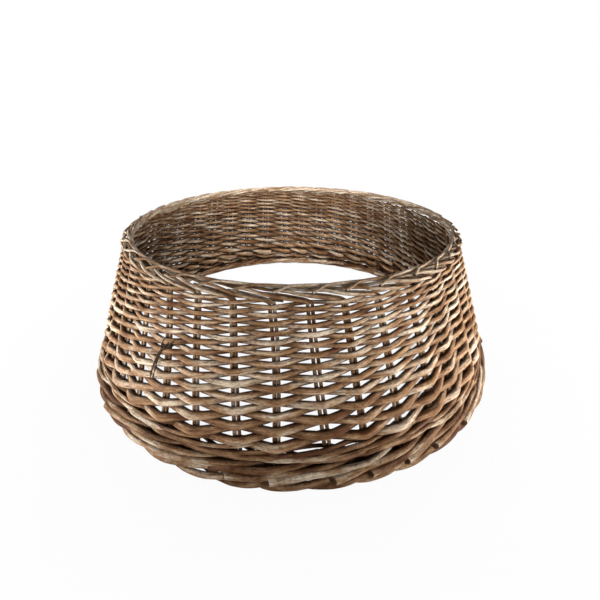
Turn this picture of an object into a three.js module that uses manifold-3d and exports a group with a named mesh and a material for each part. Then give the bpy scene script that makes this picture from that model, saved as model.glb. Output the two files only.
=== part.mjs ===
// A woven willow collar that stands on the floor and hides the stand of a christmas tree.
// Upright stakes lean in towards the rim. Rows of paired rods twine round them, one rod in front
// and one behind at every stake. Two wales, each of three rods, bind the lower ends into a foot,
// and the thin upper ends bend over to the left and make the rim.

import * as THREE from 'three';
import Module from 'manifold-3d';
import { mergeVertices } from 'three/addons/utils/BufferGeometryUtils.js';

// Driving sizes in millimetres
const FOOT_RADIUS = 282;      // axis to the stakes' middle line, at the ground
const RIM_RADIUS = 219.5;     // axis to the stakes' middle line, where the rim starts
const STAKE_WIDTH = 7.6;      // a stake and its bye-stake, side by side
const STAKE_DEPTH = 3.8;
const RIM_ROD = 2.8;          // the stakes' thin upper ends
const BOTTOM_WEAVER = 7.3;    // height of a rod in the lowest row
const TOP_WEAVER = 3.3;       // height of a rod in the highest row
const WALE_ROD = 5.4;
const FOOT_ROD = 9;
const TWINE = 1.4;
const CLEARANCE = 0.3;        // between pieces that lie against each other
const FOOT_FLAT = 0.5;        // depth that the lowest rods are worn flat

// Counts
const STAKE_COUNT = 40;
const ROW_COUNT = 13;
const WALE_RODS = 3;
const WEAVER_SIDES = 3;
const WALE_SIDES = 4;
const FOOT_SIDES = 6;
const TWINE_SIDES = 4;

// Angles round the axis, from the front towards the right
const STEP = (2 * Math.PI) / STAKE_COUNT;
const FIRST_STAKE = THREE.MathUtils.degToRad(4);
const LEAN = THREE.MathUtils.degToRad(1.7);          // how far the stakes' feet stand to the right
const LEAN_SWING = THREE.MathUtils.degToRad(1.8);    // more of it near the front, less at the back
const LEAN_PEAK = THREE.MathUtils.degToRad(20);

// Places counted in stakes
const WALE_SEAM = 20;         // the wales start and end at the back
const WALE_SEAM_GAP = 0.2;
const ROW_SEAMS = 15;         // so do the rows, each at another stake
const ROW_SEAM_STEP = 5;
const ROW_SEAM_SPAN = 11;
const ROW_START = -0.35;      // where a row's two rods part, left of their first stake
const ROW_END = 0.7;          // where they are cut, short of that again
const TIED_STAKE = 36;
const TIED_ROW = 6;

// The rim's course from a stake's top: stakes passed to the left, then rods out and rods up
const RIM_COURSE = [
  [0.5, 0.75, 0.20],
  [1.0, 1.30, 0.85],
  [1.5, 0.80, 1.55],
  [2.0, -1.40, 1.45],
  [2.5, -1.95, 1.95],
  [2.75, -1.10, 2.60],
  [3.0, 0.22, 2.70],
];

// Colours of the willow and the twine
const STAKE_COLOUR = 0x86694c;
const WEAVER_COLOUR = 0x94785a;
const WALE_COLOUR = 0x8a6d50;
const FOOT_COLOUR = 0x7d6147;
const TWINE_COLOUR = 0x2c221a;
const WILLOW_ROUGHNESS = 0.75;
const TWINE_ROUGHNESS = 0.95;

// The weave is stacked along the slope of the wall, from the ground up
const footShift = waleShift(FOOT_ROD);
const footMiddle = footShift + FOOT_ROD / 2;
const thinShift = waleShift(WALE_ROD);
const waleMiddle = 2 * footMiddle + CLEARANCE + thinShift + WALE_ROD / 2;
const waleTop = waleMiddle + thinShift + WALE_ROD / 2;
const rows = stackRows(waleTop);
const lastRow = rows[ROW_COUNT - 1];
const rimBase = lastRow.along + lastRow.size + 2 * CLEARANCE + RIM_ROD / 2;

const slopeSine = (FOOT_RADIUS - RIM_RADIUS) / rimBase;
const slopeCosine = Math.sqrt(1 - slopeSine * slopeSine);
const lift = (FOOT_ROD / 2) * (1 - slopeCosine) - FOOT_FLAT;
const stakeFoot = FOOT_ROD / 2;

// How far apart a wale's rods lie, with room for their slant
function waleShift(size) {
  return size * Math.hypot(1, size / (FOOT_RADIUS * STEP)) + CLEARANCE;
}

function stackRows(start) {
  const taper = TOP_WEAVER / BOTTOM_WEAVER;
  const stack = [];
  let along = start;
  for (let i = 0; i < ROW_COUNT; i += 1) {
    const size = BOTTOM_WEAVER * taper ** (i / (ROW_COUNT - 1));
    const half = size + CLEARANCE / 2;
    along += CLEARANCE + half;
    stack.push({ along, size });
    along += half;
  }
  return stack;
}

// A point of the wall: along its slope from the ground, and out from the stakes' middle line
function wallPoint(azimuth, along, out) {
  const radius = FOOT_RADIUS - along * slopeSine + out * slopeCosine;
  const height = lift + along * slopeCosine + out * slopeSine;
  return new THREE.Vector3(radius * Math.sin(azimuth), -radius * Math.cos(azimuth), height);
}

// Directions square to the wall and up its slope, at a point near it
function wallNormal(point) {
  const radius = Math.hypot(point.x, point.y);
  const x = point.x / radius;
  const y = point.y / radius;
  return new THREE.Vector3(x * slopeCosine, y * slopeCosine, slopeSine);
}

function wallUp(point) {
  const radius = Math.hypot(point.x, point.y);
  const x = point.x / radius;
  const y = point.y / radius;
  return new THREE.Vector3(-x * slopeSine, -y * slopeSine, slopeCosine);
}

// A place that is counted in stakes, which may lie between two of them, on a straight line from
// the leaning foot to the rim
function stakeAzimuth(count, along) {
  const top = FIRST_STAKE + count * STEP;
  const lean = LEAN + LEAN_SWING * Math.cos(top - LEAN_PEAK);
  const climbed = along / rimBase;
  const aside = FOOT_RADIUS * Math.sin(lean) * (1 - climbed);
  const ahead = FOOT_RADIUS * Math.cos(lean) * (1 - climbed) + RIM_RADIUS * climbed;
  return top + Math.atan2(aside, ahead);
}

function weavePoint(count, along, out) {
  return wallPoint(stakeAzimuth(count, along), along, out);
}

// The stakes taper from the ground to the rim
function stakeWidth(along) {
  return STAKE_WIDTH + (RIM_ROD - STAKE_WIDTH) * (along / rimBase);
}

function stakeDepth(along) {
  return STAKE_DEPTH + (RIM_ROD - STAKE_DEPTH) * (along / rimBase);
}

function stakeSpacing(along) {
  return (FOOT_RADIUS - along * slopeSine) * STEP;
}

// How far the straight run between two neighbouring half-way points cuts inside the circle
function chordSag(along) {
  return (FOOT_RADIUS - along * slopeSine) * (1 - Math.cos(STEP / 2));
}

// Sections of rods, as points out from the wall and along it
function roundSection(size, sides) {
  const half = Array.from({ length: sides }, (_, i) => Math.sin((2 * Math.PI * i) / sides));
  const radius = size / 2 / Math.max(...half);
  return Array.from({ length: sides }, (_, i) => {
    const angle = (2 * Math.PI * i) / sides;
    return new THREE.Vector2(radius * Math.cos(angle), radius * Math.sin(angle));
  });
}

function flatSection(depth, width) {
  return [
    new THREE.Vector2(depth / 2, width / 2),
    new THREE.Vector2(-depth / 2, width / 2),
    new THREE.Vector2(-depth / 2, -width / 2),
    new THREE.Vector2(depth / 2, -width / 2),
  ];
}

function reach(section, direction) {
  return Math.max(...section.map((corner) => corner.x * direction));
}

// Carries one section, or one for each point, along a line of points, and keeps it turned
// towards the guide's direction
function rodGeometry(points, sections, isLoop = false, guide = wallNormal) {
  const count = points.length;
  const corners = sections[0].length;
  const positions = [];
  const faces = [];
  points.forEach((point, i) => {
    const before = points[isLoop ? (i + count - 1) % count : Math.max(i - 1, 0)];
    const after = points[isLoop ? (i + 1) % count : Math.min(i + 1, count - 1)];
    const arriving = point.clone().sub(before).normalize();
    const leaving = after.clone().sub(point).normalize();
    const along = arriving.add(leaving).normalize();
    const out = guide(point);
    out.addScaledVector(along, -out.dot(along)).normalize();
    const side = along.clone().cross(out);
    for (const corner of sections[Math.min(i, sections.length - 1)]) {
      const spot = point.clone().addScaledVector(out, corner.x).addScaledVector(side, corner.y);
      positions.push(spot.x, spot.y, spot.z);
    }
  });
  const runs = isLoop ? count : count - 1;
  for (let i = 0; i < runs; i += 1) {
    const here = i * corners;
    const next = ((i + 1) % count) * corners;
    for (let j = 0; j < corners; j += 1) {
      const k = (j + 1) % corners;
      faces.push(here + j, here + k, next + k);
      faces.push(here + j, next + k, next + j);
    }
  }
  if (!isLoop) {
    const last = (count - 1) * corners;
    for (let j = 1; j < corners - 1; j += 1) {
      faces.push(0, j + 1, j);
      faces.push(last, last + j, last + j + 1);
    }
  }
  const geometry = new THREE.BufferGeometry();
  geometry.setAttribute('position', new THREE.Float32BufferAttribute(positions, 3));
  geometry.setIndex(faces);
  return geometry;
}

// Joins and cuts

const wasm = await Module();
wasm.setup();

function toSolid(source) {
  const bare = source.clone();
  bare.deleteAttribute('normal');
  bare.deleteAttribute('uv');
  const merged = mergeVertices(bare);
  return new wasm.Manifold(new wasm.Mesh({
    numProp: 3,
    vertProperties: new Float32Array(merged.attributes.position.array),
    triVerts: new Uint32Array(merged.index.array),
  }));
}

function toGeometry(solid) {
  const mesh = solid.getMesh();
  const geometry = new THREE.BufferGeometry();
  geometry.setAttribute('position', new THREE.Float32BufferAttribute(mesh.vertProperties, 3));
  geometry.setIndex(Array.from(mesh.triVerts));
  return geometry;
}

function joined(first, second) {
  return toGeometry(toSolid(first).add(toSolid(second)));
}

function cutAtGround(geometry) {
  const side = 4 * FOOT_RADIUS;
  const ground = new THREE.BoxGeometry(side, side, FOOT_ROD);
  ground.translate(0, 0, -FOOT_ROD / 2);
  return toGeometry(toSolid(geometry).subtract(toSolid(ground)));
}

// Pieces

function willow(colour) {
  return new THREE.MeshStandardMaterial({
    color: colour,
    roughness: WILLOW_ROUGHNESS,
    metalness: 0,
  });
}

function piece(name, geometry, material) {
  const flat = geometry.toNonIndexed();
  flat.computeVertexNormals();
  const mesh = new THREE.Mesh(flat, material);
  mesh.name = name;
  return mesh;
}

// A stake runs up the wall and then bends over into the rim
function stakeGeometry(count) {
  const points = [
    weavePoint(count, stakeFoot, 0),
    weavePoint(count, rimBase, 0),
  ];
  const sections = [
    flatSection(stakeDepth(stakeFoot), stakeWidth(stakeFoot)),
    flatSection(RIM_ROD, RIM_ROD),
  ];
  for (const [passed, out, up] of RIM_COURSE) {
    const along = rimBase + up * RIM_ROD;
    points.push(wallPoint(stakeAzimuth(count - passed, rimBase), along, out * RIM_ROD));
    sections.push(flatSection(RIM_ROD, RIM_ROD));
  }
  return rodGeometry(points, sections);
}

// A row is one long rod folded round its first stake, so two halves set out from there
function rowGeometry(row, index) {
  const { along, size } = row;
  const section = roundSection(size, WEAVER_SIDES);
  const spacing = stakeSpacing(along);
  const edge = stakeWidth(along) / spacing;
  const seat = stakeDepth(along) / 2 + CLEARANCE;
  const behind = -seat - reach(section, 1);
  const halfWay = behind + chordSag(along);
  const slant = Math.hypot(1, (seat + reach(section, -1) - behind) / (spacing / 2));
  const inFront = seat + slant * reach(section, -1);
  const crest = (inFront - edge * behind) / (1 - edge);
  const rise = (size + CLEARANCE) / 2;
  const corner = -(stakeWidth(along) / 2 + reach(section, 1)) / spacing;
  const first = ROW_SEAMS + ((index * ROW_SEAM_STEP) % ROW_SEAM_SPAN);
  const at = (count, out, up) => weavePoint(first + count, along + up, out);

  const leading = [at(ROW_START, 0, 0), at(corner, inFront, 0)];
  const following = [at(ROW_START, 0, 0), at(corner, behind, 0), at(0.5, halfWay, -rise)];
  for (let stake = 0; stake < STAKE_COUNT; stake += 1) {
    const half = stake % 2 === 0 ? leading : following;
    half.push(at(stake, crest, 0));
    if (stake < STAKE_COUNT - 1) half.push(at(stake + 0.5, halfWay, rise));
    if (stake < STAKE_COUNT - 2) half.push(at(stake + 1.5, halfWay, -rise));
  }
  // Both halves are cut just past the last stake, where the one in front stands a little proud
  const past = 1 - ROW_END;
  const proud = crest + (halfWay - crest) * past;
  leading.push(at(STAKE_COUNT - ROW_END, behind, -2 * past * rise));
  following.push(at(STAKE_COUNT - ROW_END, proud, 2 * past * rise));
  return joined(rodGeometry(leading, [section]), rodGeometry(following, [section]));
}

// A wale's rod passes in front of two stakes and behind the third, and climbs as it goes
function waleGeometry(middle, size, sides, turn) {
  const section = roundSection(size, sides);
  const spacing = stakeSpacing(middle);
  const edge = stakeWidth(middle) / spacing;
  const seat = stakeDepth(middle) / 2 + CLEARANCE;
  const slant = Math.hypot(1, size / (spacing / 2));
  const inFront = (seat + slant * reach(section, -1)) / (1 - edge);
  const behind = -(seat + slant * reach(section, 1)) / (1 - edge);
  const shift = waleShift(size);
  const course = [
    [-0.5, 0, -shift],
    [0, inFront, -shift / 2],
    [1, inFront, shift / 2],
    [1.5, 0, shift],
    [2, behind, 0],
  ];
  const bends = [];
  for (let start = turn - 2 * WALE_RODS; start < STAKE_COUNT + WALE_RODS; start += WALE_RODS) {
    for (const [passed, out, up] of course) bends.push([start + passed, out, up]);
  }
  const first = (WALE_SEAM_GAP - 1) / 2;
  const run = trimmed(bends, first, first + STAKE_COUNT - WALE_SEAM_GAP);
  const points = run.map(([count, out, up]) => weavePoint(WALE_SEAM + count, middle + up, out));
  return rodGeometry(points, [section]);
}

// The stretch of a run of bends between two counts of stakes, with its ends cut to length
function trimmed(bends, start, end) {
  const cut = (count) => {
    const next = bends.findIndex((bend) => bend[0] > count);
    const [before, after] = [bends[next - 1], bends[next]];
    const share = (count - before[0]) / (after[0] - before[0]);
    return before.map((value, i) => value + (after[i] - value) * share);
  };
  const inside = bends.filter((bend) => bend[0] > start && bend[0] < end);
  return [cut(start), ...inside, cut(end)];
}

// A loop of twine tied round one stake, between two rows
function twineGeometry() {
  const along = (rows[TIED_ROW].along + rows[TIED_ROW - 1].along) / 2;
  const aside = (stakeWidth(along) / 2 + TWINE / 2 + CLEARANCE) / stakeSpacing(along);
  const out = stakeDepth(along) / 2 + TWINE / 2 + CLEARANCE;
  const corners = [[-1, 1], [1, 1], [1, -1], [-1, -1]];
  const points = corners.map(([x, y]) => weavePoint(TIED_STAKE + x * aside, along, y * out));
  return rodGeometry(points, [roundSection(TWINE, TWINE_SIDES)], true, wallUp);
}

// The collar

const collar = new THREE.Group();

function numbered(name, count) {
  return `${name}_${String(count + 1).padStart(2, '0')}`;
}

for (let count = 0; count < STAKE_COUNT; count += 1) {
  collar.add(piece(numbered('stake', count), stakeGeometry(count), willow(STAKE_COLOUR)));
}

rows.forEach((row, index) => {
  collar.add(piece(numbered('pairing_row', index), rowGeometry(row, index), willow(WEAVER_COLOUR)));
});

for (let turn = 0; turn < WALE_RODS; turn += 1) {
  const wale = waleGeometry(waleMiddle, WALE_ROD, WALE_SIDES, turn);
  collar.add(piece(numbered('wale_rod', turn), wale, willow(WALE_COLOUR)));
  const foot = cutAtGround(waleGeometry(footMiddle, FOOT_ROD, FOOT_SIDES, turn));
  collar.add(piece(numbered('foot_rod', turn), foot, willow(FOOT_COLOUR)));
}

const twine = new THREE.MeshStandardMaterial({
  color: TWINE_COLOUR,
  roughness: TWINE_ROUGHNESS,
  metalness: 0,
});
collar.add(piece('twine_tie', twineGeometry(), twine));

export default collar;
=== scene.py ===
import math
import random

import bpy
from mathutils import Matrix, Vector, noise


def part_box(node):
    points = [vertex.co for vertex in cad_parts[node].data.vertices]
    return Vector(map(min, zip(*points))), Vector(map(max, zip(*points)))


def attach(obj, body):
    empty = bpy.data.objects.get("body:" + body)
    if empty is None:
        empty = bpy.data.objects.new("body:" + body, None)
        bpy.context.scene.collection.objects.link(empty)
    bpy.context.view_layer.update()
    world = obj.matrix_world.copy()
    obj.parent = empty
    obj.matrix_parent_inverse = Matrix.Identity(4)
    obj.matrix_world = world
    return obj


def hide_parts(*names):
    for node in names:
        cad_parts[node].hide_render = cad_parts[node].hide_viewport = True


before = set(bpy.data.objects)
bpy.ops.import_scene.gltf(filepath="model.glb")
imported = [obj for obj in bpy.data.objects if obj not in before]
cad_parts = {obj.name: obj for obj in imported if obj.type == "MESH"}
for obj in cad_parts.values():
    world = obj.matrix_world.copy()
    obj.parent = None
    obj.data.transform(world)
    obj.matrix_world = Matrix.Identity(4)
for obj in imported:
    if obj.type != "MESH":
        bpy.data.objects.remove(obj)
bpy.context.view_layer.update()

bl_info = {
    "name": "Willow Tree Collar",
    "version": (1, 0, 0),
    "blender": (4, 5, 0),
    "location": "3D View > Sidebar > Collar",
    "description": "Weaves the willow rods of a collar that hides the stand of a christmas tree",
    "category": "Add Mesh",
}

# What the frame gives
STAKES = sorted(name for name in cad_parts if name.startswith("stake_"))
ROWS = sorted(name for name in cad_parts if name.startswith("pairing_row_"))
WALES = sorted(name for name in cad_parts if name.startswith("wale_rod_"))
FEET = sorted(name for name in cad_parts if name.startswith("foot_rod_"))
TWINE = "twine_tie"
BODY = "root"

STEP = math.tau / len(STAKES)
RIM_SEED, STAKE_SEED, ROW_SEED, WALE_SEED, FOOT_SEED, TWINE_SEED, BEND_SEED = range(100, 800, 100)

# How finely rods are drawn: points for each stake passed or each metre, and a weaver's between stakes
POINTS_PER_STAKE = 14.0
SCALLOP_POINTS = 18.0
POINTS_PER_METRE = 250.0
KINK_POINTS = (0.0, 0.015, 0.04, 0.09, 0.18, 0.34, 0.5, 0.66, 0.82, 0.91, 0.96, 0.985)

# Faces at a smaller angle look smooth, and points closer than this are one
SMOOTH_ANGLE = math.radians(50.0)
SAME_SPOT = 1e-6

# Noise round the collar: its change round the axis and up the wall, and its start
STAKE_NOISE = (6.0, 1.3, 0.0)
ROUND_NOISE = (3.5, 3.0, 7.0)

# Noise along a rod: how fast it changes along the rod and from rod to rod, and its layer
BEND_NOISE = (28.0, 0.731, 3.7)
LUMP_NOISE = (90.0, 0.377, 8.1)
WALE_NOISE = (0.9, 1.0, 2.0)
FOOT_SLACK_NOISE = (0.8, 1.0, 5.0)
FOOT_PROUD_NOISE = (0.7, 1.0, 9.0)

# Leaf scars, in metres, and how far they stray from even places
LEAF_SPACING = 0.055
LEAF_SCAR = 0.0022
LEAF_STRAY = 0.3
LEAF_STRAYS_PER_METRE = 40.0

# Shades of the rods, 0 dark to 1 pale, and how much paler the rim and the butts are
STAKE_TONES = (0.2, 0.75)
WEAVER_TONES = (0.42, 0.72)
WALE_TONES = (0.15, 0.7)
FOOT_TONES = (0.05, 0.8)
SCALLOP_TONES = (0.05, 0.7)
TWINE_TONE = 0.5
RIM_PALER = 0.34
BUTT_PALER = 0.45
BUTT_PALER_FADE = 3.0

# Stakes: how many rods below the rim their straight part ends, and how far the tips stray, in stakes
STAKE_END_RODS = 3
RIM_TIP_STRAY = (-0.1, 0.06)

# Weavers: where the rounds come down, in stakes, how far past them a stroke may lie, and their form
DROP_START = -2.2
DROP_END = 2.3
STROKE_MARGIN = 0.3
WEAVER_FULLNESS = (0.94, 1.05)
KINK_SHARPNESS = 0.975

# The wale: its join at the back, its seam as a share of the way round, overlaps in stakes, form and seeds
WALE_START = -0.4
WALE_SEAM = (0.45, 0.55)
WALE_SEAM_OVERLAP = 0.5
WALE_END_OVERLAP = 0.2
WALE_BUTT = 1.12
WALE_TAPER = 0.24
WALE_SLACK = 0.5
WALE_SWING = 1.2
WALE_SEEDS = 1000

# The foot: butts that stray, hide or are cut slanting, and rods that lie loose
SLANT_LENGTH = 0.014
BUTT_STRAY = (-0.2, 0.2)
BUTT_STRAY_END = 2
BUTT_HIDDEN = 0.45
BUTT_HIDDEN_FADE = 4.0
BUTT_SWELL_FADE = 2.2
BUTT_SLANT = (0.35, 0.8)
FOOT_TIP_STRAY = (-0.3, 0.2)
FOOT_FULLNESS = (0.86, 1.12)
FOOT_SLACK = 0.5
FOOT_SLACK_AT_BUTT = 0.4
FOOT_PROUD = 0.3
SCALLOP_LEAD = 0.4

# Noise on the rods: how fast it changes across and along, for each metre, and its detail
PATCHES = (90.0, 30.0, 3.0)
STREAKS = (800.0, 24.0, 4.0)
FIBRES = (2600.0, 70.0, 2.0)
PORES = (620.0, 330.0, 1.0)
MOTTLE = (520.0, 260.0, 6.0)
CUT_WEAR = (900.0, 900.0, 3.0)
TWINE_FIBRES = (2400.0, 500.0, 3.0)
NOISE_ROUGHNESS = 0.6

# Ranges: low and high, and the new low and high unless they are 0 and 1
STREAK_RANGE = (0.42, 0.66)
PORE_RANGE = (0.62, 0.72)
MOTTLE_RANGE = (0.46, 0.64)
PATCH_TONES = (0.3, 0.7, -0.5, 0.5)
STREAK_GRIME = (0.0, 1.0, -0.15, 0.2)
CREVICE_SHADE = (0.5, 1.0, 0.0, 0.6)
MOTTLE_GRIME = (0.0, 1.0, -0.1, 0.15)
DIRT_AND_SHADE_RANGE = (0.1, 1.0)
BARK_ROUGHNESS = (0.0, 1.0, 0.6, 0.85)
CUT_SHADES = (0.3, 0.7, 0.4, 1.0)
CUT_ROUGHNESS = (0.2, 0.8, 0.7, 0.95)
TWINE_WORN = (0.45, 0.75)
TWINE_ROUGHNESS = (0.0, 1.0, 0.8, 1.0)

# How strongly streaks, mottle and pores darken the bark, and fibres and pores show in its relief
MARK_SHARE = 0.5
FIBRE_RELIEF = 0.6
PORE_RELIEF = 0.5

# Gloss and relief of dry wood and twine, and the radii of the pith and of a cut end
SPECULAR_LEVEL = 0.2
RELIEF_STRENGTH = 0.6
WOOD_RELIEF = 0.0005
TWINE_RELIEF = 0.0004
PITH_RADIUS = 0.0006
CUT_RADIUS = 0.0042

# Half of the weave's thickness at the foot and the rim, and where its painted shade ends in the rim
WEAVE_HALF_FOOT = 0.0125
WEAVE_HALF_RIM = 0.0070
SHADED_SHARE = 0.6
RIM_SHADE_BELOW = 0.004
RIM_SHADE_ABOVE = 0.006
RIM_SHADE = 0.3

# Where the lamps are turned to
COLLAR_MIDDLE = (0.0, 0.0, 0.09)
LEFT_FLANK = (-0.25, -0.1, 0.1)
RIGHT_FLANK = (0.25, -0.1, 0.1)
INSIDE_BACK = (0.0, 0.24, 0.1)

# Lamps: name, place, target, width, height, power in watts and spread in degrees
LAMPS = (
    ("Left softbox", (-1.0, -0.15, 0.15), COLLAR_MIDDLE, 0.9, 0.3, 6.0, 180.0),
    ("Right softbox", (1.0, -0.15, 0.15), COLLAR_MIDDLE, 0.9, 0.3, 6.5, 180.0),
    ("Back softbox", (0.0, 1.1, 0.15), COLLAR_MIDDLE, 1.0, 0.3, 17.0, 180.0),
    ("Front softbox", (0.35, -1.15, 0.4), COLLAR_MIDDLE, 1.4, 0.3, 4.8, 180.0),
    ("Top softbox", (0.0, 0.0, 1.7), COLLAR_MIDDLE, 1.0, 1.0, 3.0, 180.0),
    ("Left flank lamp", (-0.8, -0.6, 0.14), LEFT_FLANK, 0.4, 0.3, 0.95, 26.0),
    ("Right flank lamp", (0.8, -0.6, 0.14), RIGHT_FLANK, 0.4, 0.3, 1.1, 26.0),
    ("Inside lamp", (0.0, -0.5, 1.1), INSIDE_BACK, 0.15, 0.15, 1.1, 34.0),
)

# The floor, the distances over which its shadow fades to white, and the room's light from left to right
FLOOR_SIZE = 8.0
FLOOR_GREY = 0.8
FLOOR_ROUGHNESS = 0.9
SHADOW_FADE = (0.3, 0.5, 0.95, 1.0)
ROOM_GLOW = (-1.0, 1.0, 0.09, 0.26)

# The camera: its place, degrees below level, sensor and lens in millimetres, shift and nearest distance
CAMERA_PLACE = (0.0, -0.4993, 0.3271)
CAMERA_PITCH = 28.8
CAMERA_SENSOR = 36.0
CAMERA_LENS = 21.35
CAMERA_SHIFT = 0.0143
CAMERA_NEAR = 0.01

# The twine's turns round a stake and its knot in front
LOOP_TURNS = 2
LOOP_HALF_WIDTH = 0.0058
LOOP_HALF_DEPTH = 0.0046
LOOP_RISE = 0.0008
LOOP_POINTS = 8.0
KNOT_HALF_WIDTH = 0.0016
KNOT_HALF_HEIGHT = 0.0022
KNOT_OUT = 0.0062
KNOT_FULLNESS = 0.6
KNOT_POINTS = 4.0

# How the twine's loose ends curve upwards, thin out and are drawn
END_CURVE = 1.4
END_TAPER = 0.25
END_POINTS = 12.0

# Loose ends of the twine, from its knot: how far right, up and out they reach
TWINE_ENDS = (
    (0.026, 0.021, 0.013),
    (0.020, 0.018, 0.015),
    (0.013, 0.019, 0.013),
    (0.017, 0.010, 0.012),
    (-0.004, -0.030, 0.008),
    (-0.006, -0.029, 0.009),
    (-0.008, -0.027, 0.008),
)

# A stake's end in the rim: stakes passed to the left, then rods out and rods up the wall
RIM_COURSE = (
    (0.00, 0.00, -1.50),
    (0.10, 0.25, -0.84),
    (0.50, 0.85, -0.28),
    (1.00, 1.50, 0.64),
    (1.50, 0.75, 1.64),
    (1.60, 0.45, 1.70),
    (1.70, 0.00, 1.74),
    (1.87, -0.70, 1.72),
    (2.05, -1.30, 1.64),
    (2.30, -1.58, 1.90),
    (2.50, -1.62, 2.12),
    (3.00, -1.42, 2.56),
    (3.50, -1.10, 2.84),
    (4.00, -0.46, 3.02),
    (4.30, -0.34, 2.98),
    (4.50, -0.15, 2.84),
    (4.60, 0.20, 2.62),
    (4.70, 0.75, 2.16),
    (4.95, 1.50, 1.42),
)

# A bye-stake's end in the rim, inside the stakes' ends
BYE_COURSE = (
    (0.00, 0.00, -1.50),
    (0.12, -0.30, -0.70),
    (0.50, -0.74, 0.12),
    (0.90, -0.66, 0.62),
    (1.30, -0.80, 0.74),
)

# A rod of a wale: stakes passed to the right, then rods out and rods up, over three stakes
WALE_COURSE = (
    (-0.5, 0.00, -1.00),
    (0.0, 0.92, -0.60),
    (0.5, 1.04, -0.05),
    (1.0, 0.92, 0.55),
    (1.5, 0.00, 1.00),
    (2.0, -0.92, 0.00),
)

# A rod of the foot, which climbs from its cut butt: stakes passed to the right, rods out and rods up
FOOT_COURSE = (
    (-0.16, 1.62, 1.66),
    (0.05, 1.56, 1.76),
    (0.30, 1.47, 1.94),
    (0.60, 1.36, 2.16),
    (1.00, 1.26, 2.46),
    (1.50, 1.10, 2.86),
    (2.00, 0.90, 3.20),
    (2.50, 0.10, 3.42),
    (3.00, -0.80, 3.60),
    (3.50, 0.05, 3.98),
    (4.00, 0.82, 4.28),
    (4.50, 0.88, 4.48),
    (5.00, 0.76, 4.62),
    (5.50, 0.05, 4.70),
    (6.00, -0.72, 4.74),
)

# A rod of the lowest scallops, which comes out under the foot, climbs and goes in behind the butts
SCALLOP_COURSE = (
    (-3.00, -1.05, 2.50),
    (-2.20, -1.20, 2.02),
    (-1.50, -1.20, 1.62),
    (-1.10, -1.10, 1.36),
    (-0.75, -0.85, 1.06),
    (-0.42, -0.40, 0.78),
    (-0.12, 0.42, 0.56),
    (0.25, 0.90, 0.44),
    (0.60, 1.06, 0.58),
    (0.95, 1.02, 0.94),
    (1.30, 0.86, 1.36),
    (1.65, 0.60, 1.74),
    (1.95, 0.05, 2.02),
    (2.25, -0.65, 2.20),
    (2.60, -0.95, 2.20),
)


def length(label, words, metres):
    """A property that holds a length."""
    return bpy.props.FloatProperty(
        name=label, description=words, default=metres, subtype="DISTANCE", unit="LENGTH", precision=4
    )


def angle(label, words, degrees):
    """A property that holds an angle."""
    return bpy.props.FloatProperty(
        name=label, description=words, default=math.radians(degrees), subtype="ANGLE", unit="ROTATION"
    )


def count(label, words, number):
    """A property that holds a count."""
    return bpy.props.IntProperty(name=label, description=words, default=number, min=1)


def share(label, words, number):
    """A property that holds a plain number."""
    return bpy.props.FloatProperty(name=label, description=words, default=number)


def colour(label, words, red, green, blue):
    """A property that holds a colour, given as it looks on a screen, from 0 to 255."""
    def linear(value):
        value /= 255
        return value / 12.92 if value <= 0.04045 else ((value + 0.055) / 1.055) ** 2.4

    return bpy.props.FloatVectorProperty(
        name=label, description=words, default=[linear(v) for v in (red, green, blue)],
        subtype="COLOR", size=3, min=0.0, max=1.0,
    )


class CollarSizes(bpy.types.PropertyGroup):
    """Sizes of the wall and its rods."""

    foot_radius: length("Foot radius", "Axis to the stakes' middle line, at the ground", 0.282)
    rim_radius: length("Rim radius", "Axis to the stakes' middle line, where the rim starts", 0.2195)
    slope: length("Slope", "Length of the wall from the ground to the rim", 0.1864)
    first_stake: angle("First stake", "Where the first stake meets the rim, right of the front", 4.0)
    lean: angle("Lean", "How far the stakes' feet stand to the right of their tops", 1.7)
    lean_swing: angle("Lean swing", "Extra lean near the front, and as much less at the back", 1.8)
    lean_peak: angle("Lean peak", "Where the lean is largest", 20.0)
    stake_foot: length("Stake foot", "Height along the wall where the stakes end, inside the foot", 0.009)
    stake: length("Stake", "Thickness of a stake at the foot", 0.0044)
    bye_stake: length("Bye-stake", "Thickness of the rod beside a stake, at the foot", 0.0038)
    stake_slit: length("Slit", "Gap between a stake and its bye-stake", 0.0003)
    rim_rod: length("Rim rod", "Thickness of the stakes' ends in the rim", 0.0036)
    rim_taper: share("Rim taper", "Share of its thickness that a stake's end loses", 0.24)
    first_round: length("First round", "Height of the lowest round along the wall", 0.0478)
    bottom_pitch: length("Bottom pitch", "Distance between the two lowest rounds", 0.0165)
    top_pitch: length("Top pitch", "Distance between the two highest rounds", 0.0069)
    sway: length("Sway", "How far the rounds wander up and down", 0.005)
    bottom_weaver: length("Bottom weaver", "Thickness of the weavers in the lowest round", 0.0092)
    top_weaver: length("Top weaver", "Thickness of the weavers in the highest round", 0.0040)
    kink: share("Kink", "How far a weaver swings past a stake, for each half of their thickness", 0.84)
    dip: share("Dip", "How far a weaver comes down in front of a stake, for its swing", 0.3)
    overhang: share("Overhang", "How far a weaver's ends reach past a stake, in stakes", 0.3)
    wale: length("Wale", "Height of the wale along the wall", 0.0378)
    wale_rod: length("Wale rod", "Thickness of the rods in the wale", 0.0046)
    foot_rod: length("Foot rod", "Thickness of the foot's rods behind their butts", 0.0072)
    foot_butt: length("Foot butt", "Thickness of the foot's rods at their cut butts", 0.0086)
    foot_taper: share("Foot taper", "Share of its thickness that a foot's rod loses", 0.24)
    scallop_rod: length("Scallop rod", "Thickness of the rods under the foot", 0.0068)
    twine: length("Twine", "Thickness of the twine", 0.0016)
    unevenness: length("Unevenness", "How far stakes stand off their even places", 0.005)
    thin_sides: count("Thin rod sides", "Sides of a thin rod's section, an even number", 10)
    thick_sides: count("Thick rod sides", "Sides of a thick rod's section, an even number", 14)


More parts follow.
